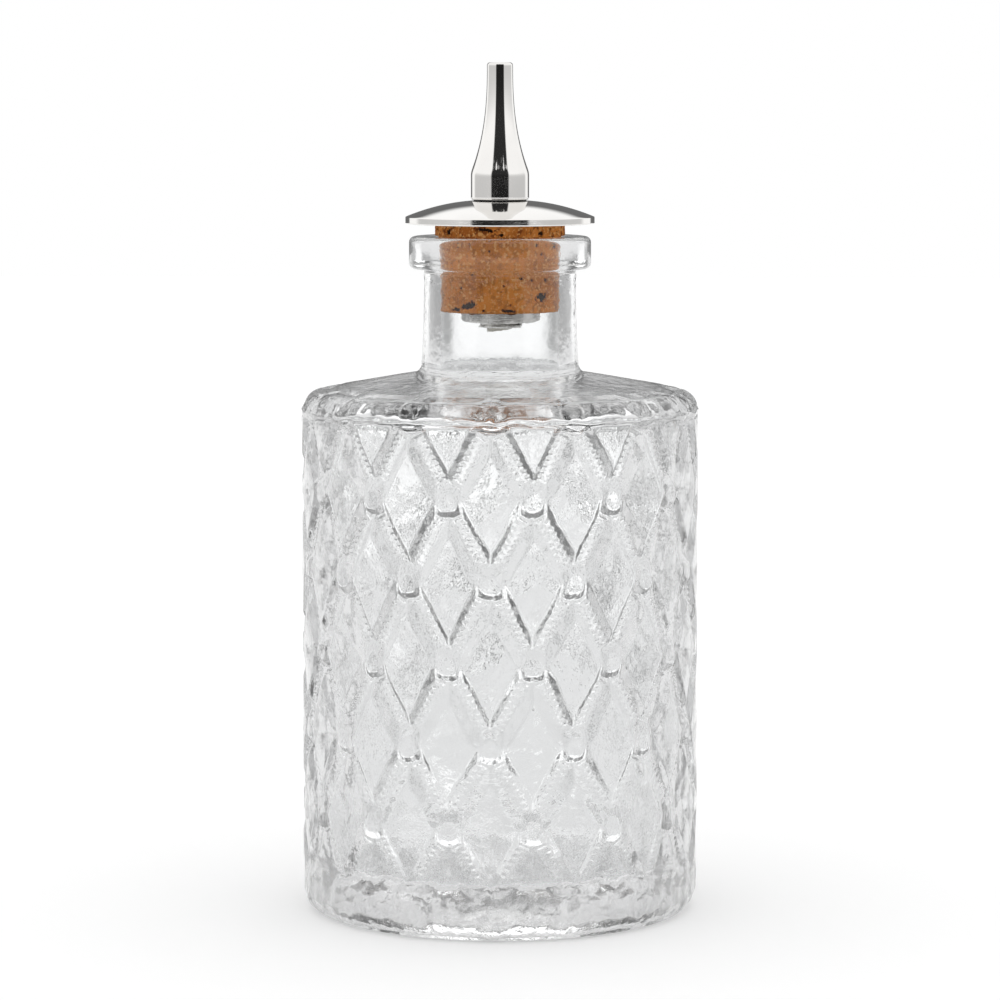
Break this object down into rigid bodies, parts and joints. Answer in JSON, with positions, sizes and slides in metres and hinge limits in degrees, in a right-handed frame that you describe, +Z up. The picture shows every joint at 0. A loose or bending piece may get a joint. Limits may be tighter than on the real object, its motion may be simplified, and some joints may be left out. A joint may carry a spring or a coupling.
{
  "type": "bitters bottle",
  "caption": "Small thick-walled glass bottle with a raised diamond pattern, closed by a cork stopper with a polished dasher spout.",
  "frame": {"origin": "centre of the base, on the surface that the bottle stands on", "axes": "+Z up the bottle's axis, -Y to the front, where one column of diamonds is centred"},
  "size_m": [0.062, 0.062, 0.1318],
  "materials": {
    "clear_glass": "polished, fire-finished pressed glass",
    "natural_cork": "cut natural cork with dark pits",
    "polished_metal": "mirror polish",
    "plain_steel": "turned, dull plating",
    "black_seal": "matt",
    "pale_plastic": "natural moulded"
  },
  "bodies": {
    "glass_body": {"bottle": "clear_glass"},
    "cork_body": {"cork": "natural_cork"},
    "cap_body": {"cap_disc": "polished_metal", "stem_tube": "plain_steel", "hex_nut": "plain_steel", "dash_insert": "pale_plastic"},
    "seal_body": {"spout_seal": "black_seal"},
    "spout_body": {"spout": "polished_metal"}
  },
  "joints": [
    {"name": "stopper_pull", "type": "slide", "parent": "glass_body", "child": "cork_body", "axis": [0, 0, 1], "range_m": [0, 0.03]},
    {"name": "cap_turn", "type": "hinge", "parent": "cork_body", "child": "cap_body", "pos_m": [0, 0, 0.107], "axis": [0, 0, 1], "continuous": true},
    {"name": "spout_rise", "type": "slide", "parent": "cap_body", "child": "seal_body", "axis": [0, 0, 1], "range_m": [0, 0.0046]},
    {"name": "spout_unscrew", "type": "hinge", "parent": "seal_body", "child": "spout_body", "pos_m": [0, 0, 0.1107], "axis": [0, 0, 1], "range_deg": [0, 1656]}
  ],
  "couplings": [
    {"joint": "spout_unscrew", "follows": "spout_rise", "rad_per_m": 6283.2}
  ]
}
